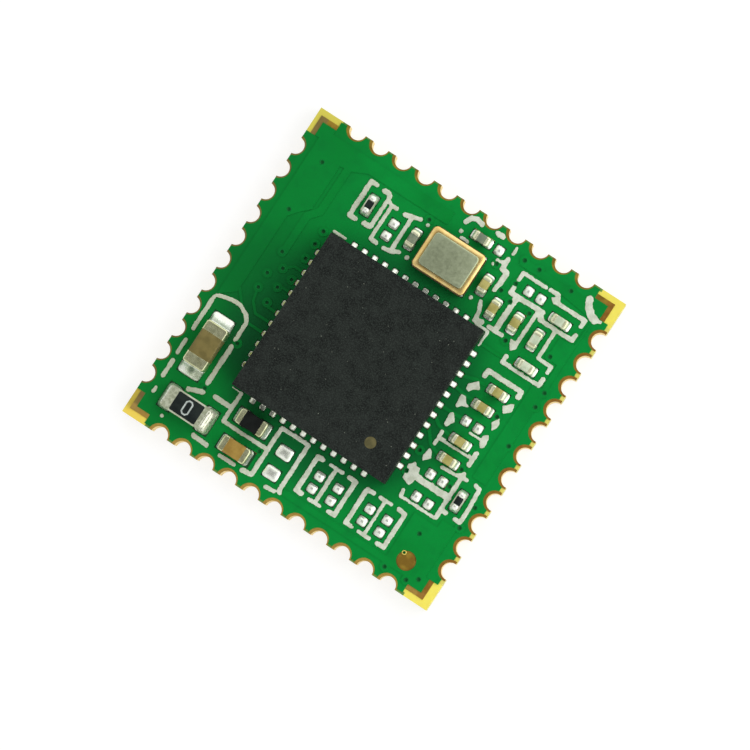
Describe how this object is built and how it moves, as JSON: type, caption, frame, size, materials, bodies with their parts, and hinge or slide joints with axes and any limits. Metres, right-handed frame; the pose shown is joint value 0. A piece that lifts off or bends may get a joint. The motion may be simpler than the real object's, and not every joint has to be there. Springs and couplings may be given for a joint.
{
  "type": "wifi module",
  "caption": "Square castellated circuit module with plated half-holes along its edges, a leadless chip, a crystal can and small chip parts, soldered flat onto a host board.",
  "frame": {"origin": "centre of the underside, on the plane of the soldered lands", "axes": "+Z out of the component side, +X and +Y along the board edges, with the crystal toward +Y of the chip and the large capacitor toward -X"},
  "size_m": [0.012, 0.012, 0.0017],
  "materials": {
    "laminate": "glass-epoxy laminate, pale yellow, cut edge",
    "plated_gold": "thin gold over nickel and copper, satin, brownish in low light",
    "copper": "plated copper under the mask",
    "mask_green": "green solder mask, glossy, lighter over copper",
    "mask_green_bottom": "green solder mask, glossy",
    "legend_ink": "matte off-white legend ink",
    "land_gold": "gold plated lands, satin",
    "mould_black": "black mould compound with a fine grain",
    "lead_tin": "matte tin on copper",
    "dot_mark": "light tan mark",
    "solder": "bright soldered metal",
    "crystal_ceramic": "dark brown ceramic",
    "seal_gold": "gold plated seal ring",
    "lid_metal": "satin nickel lid with a greenish cast",
    "bulk_ceramic": "brown ceramic, satin",
    "bypass_ceramic": "orange-brown ceramic",
    "small_ceramic": "tan ceramic",
    "pale_ceramic": "pale grey ceramic",
    "ferrite": "black ferrite",
    "alumina": "white alumina",
    "resistor_coat": "black glass coat",
    "figure_ink": "off-white ink",
    "end_metal": "tinned ends, warm grey"
  },
  "bodies": {
    "root": {"board_core": "laminate", "castellation_plating": "plated_gold", "top_copper": "copper", "solder_mask_top": "mask_green", "solder_mask_bottom": "mask_green_bottom", "silkscreen_top": "legend_ink", "corner_lands": "plated_gold", "placing_target": "plated_gold", "chip_lands": "land_gold", "passive_lands": "land_gold", "chip_body": "mould_black", "chip_leads": "lead_tin", "chip_heat_pad": "lead_tin", "chip_pin_one_dot": "dot_mark", "chip_solder": "solder", "crystal_base": "crystal_ceramic", "crystal_seal_ring": "seal_gold", "crystal_lid": "lid_metal", "bulk_capacitor_body": "bulk_ceramic", "bulk_capacitor_ends": "end_metal", "jumper_substrate": "alumina", "jumper_coat": "resistor_coat", "jumper_ends": "end_metal", "jumper_figure": "figure_ink", "bypass_capacitor_body": "bypass_ceramic", "bypass_capacitor_ends": "end_metal", "ferrite_inductor_body": "ferrite", "ferrite_inductor_ends": "end_metal", "small_resistor_coats": "resistor_coat", "passive_solder": "solder", "bare_land_solder": "solder", "small_capacitor_1_body": "small_ceramic", "small_capacitor_1_ends": "end_metal", "small_capacitor_2_body": "small_ceramic", "small_capacitor_2_ends": "end_metal", "small_capacitor_3_body": "small_ceramic", "small_capacitor_3_ends": "end_metal", "small_capacitor_4_body": "small_ceramic", "small_capacitor_4_ends": "end_metal", "small_capacitor_5_body": "pale_ceramic", "small_capacitor_5_ends": "end_metal", "small_capacitor_6_body": "small_ceramic", "small_capacitor_6_ends": "end_metal", "small_capacitor_7_body": "small_ceramic", "small_capacitor_7_ends": "end_metal", "small_capacitor_8_body": "small_ceramic", "small_capacitor_8_ends": "end_metal", "small_capacitor_9_body": "pale_ceramic", "small_capacitor_9_ends": "end_metal", "small_inductor_1_body": "pale_ceramic", "small_inductor_1_ends": "end_metal", "small_inductor_2_body": "pale_ceramic", "small_inductor_2_ends": "end_metal", "small_inductor_3_body": "pale_ceramic", "small_inductor_3_ends": "end_metal", "small_resistor_1_body": "alumina", "small_resistor_1_ends": "end_metal", "small_resistor_2_body": "alumina", "small_resistor_2_ends": "end_metal"}
  },
  "joints": []
}
